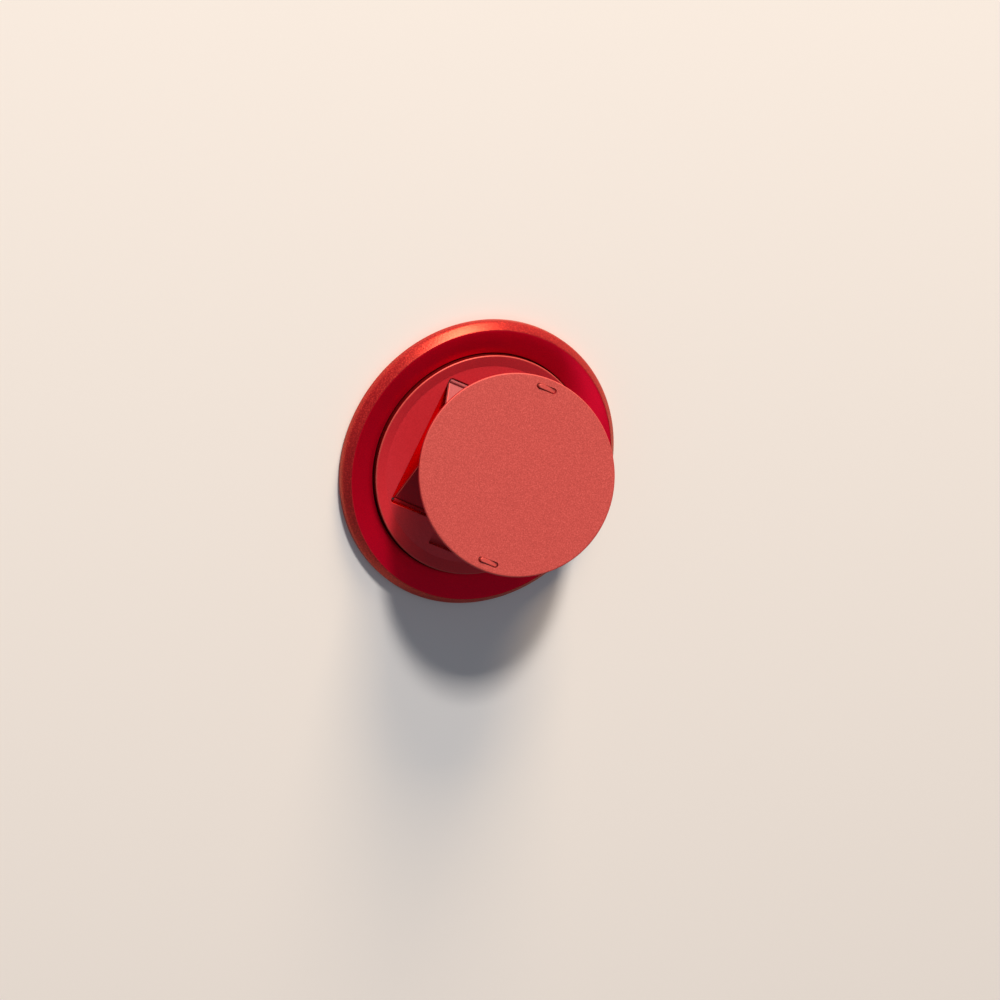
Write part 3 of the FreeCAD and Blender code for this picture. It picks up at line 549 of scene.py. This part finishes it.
# %% Disc
DISC_RADIUS, DISC_TOP, DISC_CHAMFER = 19.40, 0.57, 0.15
DISC_BOTTOM, UNDERSIDE_RADIUS, UNDERSIDE_TAPER_TOP = -0.73, 18.60, -0.28
NEAR_CHAMFER = 18.95
GROOVE_HALF_WIDTH, GROOVE_HALF_LENGTH, GROOVE_TOP = 2.75, 18.05, 0.07
SLOT_HALF_LENGTH, SLOT_HALF_WIDTH, SLOT_CORNER = 2.05, 0.55, 0.549
SLOT_MOUTH, SLOT_FLARE, SLOT_SHIFT = 0.53, 0.04, 0.06
CUT_LOW, CUT_HIGH = -2.0, 2.0
TAB_PLACES = (17.5, -17.5)
# Where the face's finish ends and those of the chamfer and the side wall begin.
CHAMFER_START, SIDE_START, SIDE_TOP = 19.25, 19.2, 0.43
RAIL_ORIGIN = Vector((0.0, 2.690727, 16.744389)) * MM
RAIL_TURN = Matrix.Rotation(math.radians(-15.4), 4, "X")
DISC_TURN = RAIL_TURN @ Matrix.Rotation(math.radians(-14.3), 4, "Y")

disc = turned("disc_blasted", [
    (0, DISC_BOTTOM),
    (UNDERSIDE_RADIUS, DISC_BOTTOM),
    (DISC_RADIUS, UNDERSIDE_TAPER_TOP),
    (DISC_RADIUS, DISC_TOP - DISC_CHAMFER),
    (DISC_RADIUS - DISC_CHAMFER, DISC_TOP),
    (NEAR_CHAMFER, DISC_TOP),
    (0, DISC_TOP),
], rounded={1: 0.1, 2: 0.1, 3: 0.08, 4: 0.08}, segments=4)
groove = cutter(box_outline(GROOVE_HALF_WIDTH, GROOVE_HALF_LENGTH), CUT_LOW, GROOVE_TOP)
combine(disc, groove, "DIFFERENCE")
for place in TAB_PLACES:
    slot = cutter(
        box_outline(SLOT_HALF_LENGTH, SLOT_HALF_WIDTH, place - SLOT_SHIFT), CUT_LOW, CUT_HIGH,
        corner=SLOT_CORNER, mouth=SLOT_MOUTH, flare=SLOT_FLARE)
    combine(disc, slot, "DIFFERENCE")
smooth_shading(disc)
finish_with(disc, disc_red)
# The chamfer's lighter cut-edge red also paints its highlight.
finish_part(disc, cut_edge_and_highlight, radius=(CHAMFER_START, math.inf), height=(SIDE_TOP, math.inf))
# Painted shade: the disc's side wall gets the second leg's darker red.
finish_part(disc, painted_shade_leg_red, radius=(SIDE_START, math.inf), height=(-math.inf, SIDE_TOP))
disc.data.transform(Matrix.Translation(RAIL_ORIGIN) @ DISC_TURN)
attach(disc, "disc")
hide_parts("top_disc")
print("disc:", len(disc.data.polygons), "faces")

# %% [markdown]
# The legs are stamped from sheet, with round barrels at both ends for the pins. A leg could be rolled
# from one strip, but its barrels are plain rods, so it is built up from simple shapes: the outline is
# extruded to the sheet's thickness, its upper edges are broken by a bevel, the barrels are joined on
# and the pins' bores are cut through all of them. The narrow groove beside the hinge barrels is the
# line that the folded seam leaves there.

# %% Stamping
SHEET_BOTTOM, SHEET_TOP, SHEET_BEVEL = -0.40, 0.10, 0.1
BARREL_RADIUS, BORE_RADIUS, ROD_STEPS = 0.42, 0.27, 48
WINDOW_HALF, TIP_HALF = 3.2, 1.6
SEAM_PLACE, SEAM_HALF, SEAM_BOTTOM = 0.48, 0.18, -0.12
TOOL_OVERRUN = 1
# The bright-cut edges, whose lighter red also paints their highlight, lie past the hinge barrels and are
# neither level nor upright.
BEVEL_START, BEVEL_TILT = 0.7, (0.2, 0.97)


def rod(radius, low_x, high_x, y):
    """A smooth rod along X between two places."""
    bm = bmesh.new()
    along_x = Matrix.Rotation(math.radians(90), 4, "Y")
    place = Matrix.Translation(Vector(((low_x + high_x) / 2, y, 0)) * MM) @ along_x
    bmesh.ops.create_cone(
        bm, cap_ends=True, segments=ROD_STEPS, radius1=radius * MM, radius2=radius * MM,
        depth=(high_x - low_x) * MM, matrix=place)
    return piece_from(bm, "rod")


def stamped_leg(name, half_outline, material):
    """A leg lying flat, hinge axis on X and tip along Y, from the right half of its outline."""
    half_width = max(x for x, y in half_outline)
    length = max(y for x, y in half_outline)
    tool_reach = half_width + TOOL_OVERRUN
    bm = bmesh.new()
    outline = half_outline + [(-x, y) for x, y in reversed(half_outline)]
    face = bm.faces.new([bm.verts.new((x * MM, y * MM, SHEET_BOTTOM * MM)) for x, y in outline])
    raised = bmesh.ops.extrude_face_region(bm, geom=[face], use_keep_orig=True)
    top = [v for v in raised["geom"] if isinstance(v, bmesh.types.BMVert)]
    bmesh.ops.translate(bm, verts=top, vec=(0, 0, (SHEET_TOP - SHEET_BOTTOM) * MM))
    bmesh.ops.recalc_face_normals(bm, faces=bm.faces[:])
    rim = [e for e in bm.edges if all(v in top for v in e.verts)]
    bmesh.ops.bevel(
        bm, geom=rim, offset=SHEET_BEVEL * MM, offset_type="OFFSET", affect="EDGES", segments=2,
        profile=0.5, material=-1)
    leg = piece_from(bm, name)
    seam = cutter(box_outline(tool_reach, SEAM_HALF, SEAM_PLACE), SEAM_BOTTOM, TOOL_OVERRUN)
    combine(leg, seam, "DIFFERENCE")
    for low_x, high_x, y in (
        (WINDOW_HALF, half_width, 0), (-half_width, -WINDOW_HALF, 0), (-TIP_HALF, TIP_HALF, length),
    ):
        combine(leg, rod(BARREL_RADIUS, low_x, high_x, y), "UNION")
    for y in (0, length):
        combine(leg, rod(BORE_RADIUS, -tool_reach, tool_reach, y), "DIFFERENCE")
    smooth_shading(leg)
    finish_with(leg, material)
    # The bevel's lighter cut-edge red also paints the highlight it catches.
    finish_part(leg, cut_edge_and_highlight, along=(BEVEL_START, math.inf), height=(0, math.inf), tilt=BEVEL_TILT)
    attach(leg, name.removesuffix("_stamped"))
    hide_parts(name.removesuffix("_stamped"))
    print(name, len(leg.data.polygons), "faces")
    return leg


print("sheet:", round(SHEET_TOP - SHEET_BOTTOM, 2), "mm thick")

# %% [markdown]
# The legs are hinged at opposite ends of the plate's pocket and cross each other. The first is open
# between its barrels, and the second passes through that window with a narrow tongue. Each is made
# flat, so that its outline stays easy to read, and then raised about its hinge.

# %% Legs
HINGE_PLACE = 12.7
LEG_1_HALF, LEG_1_WINDOW, LEG_1_TAPER, LEG_1_NECK, LEG_1_LENGTH = 14.1, 13.2, 16.7, 24.0, 29.6
LEG_1_HEIGHT, LEG_1_DEGREES = 2.19, 35.4
LEG_2_HALF, LEG_2_NOTCH, LEG_2_TAPER, LEG_2_LENGTH = 13.4, 1.2, 12.2, 28.4
TONGUE_HALF, TONGUE_START, TONGUE_END, LEG_2_NECK = 2.8, 14.9, 22.4, 23.6
LEG_2_HEIGHT, LEG_2_DEGREES = 1.59, 20.986

leg_1 = stamped_leg("leg_1_stamped", [
    (WINDOW_HALF, LEG_1_WINDOW),
    (WINDOW_HALF, 0),
    (LEG_1_HALF, 0),
    (LEG_1_HALF, LEG_1_TAPER),
    (TIP_HALF, LEG_1_NECK),
    (TIP_HALF, LEG_1_LENGTH),
], leg_red)
half_round = Matrix.Rotation(math.pi, 4, "Z")
hinge_1 = Matrix.Translation(Vector((0, HINGE_PLACE, LEG_1_HEIGHT)) * MM) @ half_round
leg_1.data.transform(hinge_1 @ Matrix.Rotation(math.radians(LEG_1_DEGREES), 4, "X"))
# The second leg takes the darker red of painted shade.
leg_2 = stamped_leg("leg_2_stamped", [
    (WINDOW_HALF, LEG_2_NOTCH),
    (WINDOW_HALF, 0),
    (LEG_2_HALF, 0),
    (LEG_2_HALF, LEG_2_TAPER),
    (TONGUE_HALF, TONGUE_START),
    (TONGUE_HALF, TONGUE_END),
    (TIP_HALF, LEG_2_NECK),
    (TIP_HALF, LEG_2_LENGTH),
], painted_shade_leg_red)
hinge_2 = Matrix.Translation(Vector((0, -HINGE_PLACE, LEG_2_HEIGHT)) * MM)
leg_2.data.transform(hinge_2 @ Matrix.Rotation(math.radians(LEG_2_DEGREES), 4, "X"))
print("legs raised by", LEG_1_DEGREES, "and", LEG_2_DEGREES, "degrees")

# %% [markdown]
# The rail is the small milled part under the disc in which the legs' tips slide. Its solid already has
# the right form, so making it anew would gain nothing, and it only gets its finish.

# %% Rail
# The rail's paler red is painted light on its tabs' tops.
finish_with(nodes["carrier_rail"], rail_red_with_painted_light)
print("rail is", rail_red_with_painted_light.name)

# %% [markdown]
# The underside is a thin moulded silicone pad that keeps the grip from sliding. Its solid could stay,
# but a mould leaves a soft, round edge, so the pad is turned anew with one. Its skin has a matt grain,
# finer than a picture shows, which is drawn about 0.4 mm wide.

# %% Pad
PAD_RADIUS, PAD_TOP, PAD_FLAT = 27.15, 0.25, 26.8
PAD_GRAIN, PAD_GRAIN_DEPTH = 0.4, 0.02

# Matt silicone: a dark, dull grey with a fine skin and no clear reflection.
silicone, silicone_shader = new_material("matt_silicone")
silicone_tree = silicone.node_tree
pad_place = add_node(silicone_tree, "ShaderNodeTexCoord")
pad_grain = add_node(
    silicone_tree, "ShaderNodeTexNoise", inputs={"Scale": 1 / (PAD_GRAIN * MM), "Detail": 3.0},
    links={"Vector": pad_place.outputs["Object"]})
pad_tone = add_node(silicone_tree, "ShaderNodeValToRGB", links={"Fac": pad_grain.outputs["Fac"]})
pad_tone.color_ramp.elements[0].color = linear("#38393B")
pad_tone.color_ramp.elements[1].color = linear("#434446")
silicone_tree.links.new(pad_tone.outputs["Color"], silicone_shader.inputs["Base Color"])
pad_bump = add_node(
    silicone_tree, "ShaderNodeBump", inputs={"Strength": 0.4, "Distance": PAD_GRAIN_DEPTH * MM},
    links={"Height": pad_grain.outputs["Fac"]})
silicone_tree.links.new(pad_bump.outputs["Normal"], silicone_shader.inputs["Normal"])
silicone_shader.inputs["Roughness"].default_value = 0.75
pad = turned(
    "silicone_pad", [(0, 0), (PAD_FLAT, 0), (PAD_RADIUS, 0), (PAD_RADIUS, PAD_TOP), (0, PAD_TOP)],
    rounded={2: 0.12})
smooth_shading(pad)
finish_with(pad, silicone)
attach(pad, "base")
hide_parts("back_pad")
print("pad:", len(pad.data.polygons), "faces")

# %% [markdown]
# The inner pieces barely show, but each has the finish it would have. They could share one grey, but
# the gaps and the pins' ends show that they are not one material. All are undyed, so a second, shorter
# recipe serves them: two tones over a noise that can be stretched along an axis.

# %% Inner finishes


def undyed(name, dark, light, metallic, roughness, grain):
    """An undyed finish: two tones over a noise whose size is given along each axis."""
    material, shader = new_material(name)
    tree = material.node_tree
    place = add_node(tree, "ShaderNodeTexCoord")
    stretch = add_node(
        tree, "ShaderNodeMapping", inputs={"Scale": [1 / (size * MM) for size in grain]},
        links={"Vector": place.outputs["Object"]})
    noise = add_node(
        tree, "ShaderNodeTexNoise", inputs={"Scale": 1.0, "Detail": 2.0},
        links={"Vector": stretch.outputs["Vector"]})
    tone = add_node(tree, "ShaderNodeValToRGB", links={"Fac": noise.outputs["Fac"]})
    tone.color_ramp.elements[0].color = linear(dark)
    tone.color_ramp.elements[1].color = linear(light)
    tree.links.new(tone.outputs["Color"], shader.inputs["Base Color"])
    shader.inputs["Metallic"].default_value = metallic
    shader.inputs["Roughness"].default_value = roughness
    return material


# Rolled steel sheet: grey metal with streaks along the way it was rolled.
steel_sheet = undyed("rolled_steel_sheet", "#85868A", "#9A9B9E", 1.0, 0.38, (6.0, 0.3, 0.3))
# Nickel plating: a warm, bright metal, nearly a mirror.
nickel = undyed("nickel_plating", "#B4AFA4", "#C6C1B6", 1.0, 0.20, (1.0, 1.0, 1.0))
# Low-friction plastic: pale, waxy and even.
slip_plastic = undyed("low_friction_plastic", "#DCDAD3", "#E8E6E0", 0.0, 0.45, (0.5, 0.5, 0.5))
# Ground steel: a darker grey metal, scored round by the wheel.
pin_steel = undyed("ground_steel_pin", "#6A6868", "#7E7C7C", 1.0, 0.34, (0.2, 1.0, 1.0))
for node_name, material in (
    ("back_plate", steel_sheet), ("shunt_ring", steel_sheet), ("ring_magnets", nickel),
    ("lower_slip_ring", slip_plastic), ("upper_slip_ring", slip_plastic),
    ("leg_1_hinge_pins", pin_steel), ("leg_2_hinge_pins", pin_steel), ("slider_pin_1", pin_steel),
    ("slider_pin_2", pin_steel), ("rock_pins", pin_steel),
):
    finish_with(nodes[node_name], material)
    print(node_name, "is", material.name)
